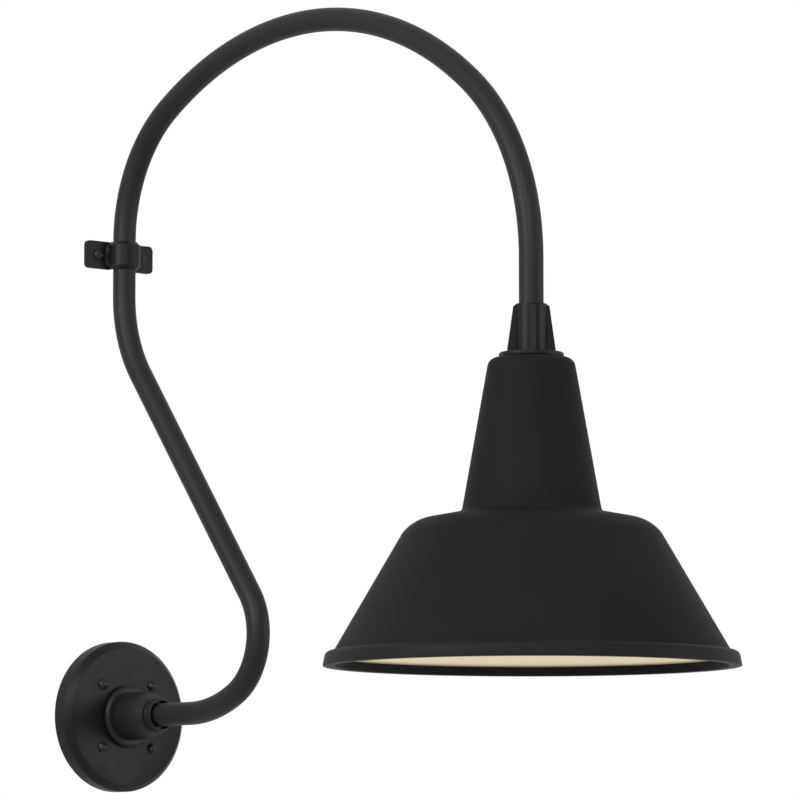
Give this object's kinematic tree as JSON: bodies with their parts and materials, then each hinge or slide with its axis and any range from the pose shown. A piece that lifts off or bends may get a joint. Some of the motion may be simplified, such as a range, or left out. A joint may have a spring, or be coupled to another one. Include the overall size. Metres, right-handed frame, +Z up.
{
  "type": "gooseneck barn light",
  "caption": "Outdoor wall light: round wall plate, tube arm that bends back to a strap clamp and arches over to a bell-shaped metal shade hung from a finned fitter.",
  "frame": {"origin": "centre of the wall plate's back face, on the wall", "axes": "+X out of the wall, +Z up, +Y along the wall"},
  "size_m": [0.7721, 0.356, 0.7016],
  "materials": {
    "black_paint": "matt black powder coat",
    "black_screw": "matt black coated steel",
    "rubber": "black rubber",
    "green_steel": "green dyed ground screw",
    "zinc_steel": "zinc plated",
    "black_steel": "blackened steel",
    "porcelain": "white glazed porcelain",
    "brass": "plain brass",
    "spring_steel": "spring wire"
  },
  "bodies": {
    "fixture": {"wall_plate": "black_paint", "wall_gasket": "rubber", "plate_screws": "black_screw", "ground_screw": "green_steel", "hub": "black_paint", "hub_locknut": "zinc_steel", "hub_set_screw": "black_steel", "collar_nut": "black_paint", "arm_seal": "rubber", "arm": "black_paint", "strap_clamp": "black_paint", "clamp_screws": "black_screw", "fitter": "black_paint", "fitter_set_screw": "black_steel", "fitter_gasket": "rubber", "shade": "black_paint", "shade_rim": "black_paint", "nipple": "zinc_steel", "shade_washer": "zinc_steel", "nipple_nuts": "zinc_steel", "holder_bridge": "zinc_steel", "holder_screws": "zinc_steel", "lampholder": "porcelain", "screw_shell": "brass", "contact_spring": "spring_steel", "shell_terminal": "brass", "contact_terminal": "brass", "terminal_screws": "brass"},
    "contact": {"centre_contact": "brass"}
  },
  "joints": [
    {"name": "contact_press", "type": "slide", "parent": "fixture", "child": "contact", "axis": [0, 0, 1], "range_m": [0, 0.0015], "stiffness_N_per_m": 400, "springref_m": -0.003, "deforming": ["contact_spring"]}
  ]
}
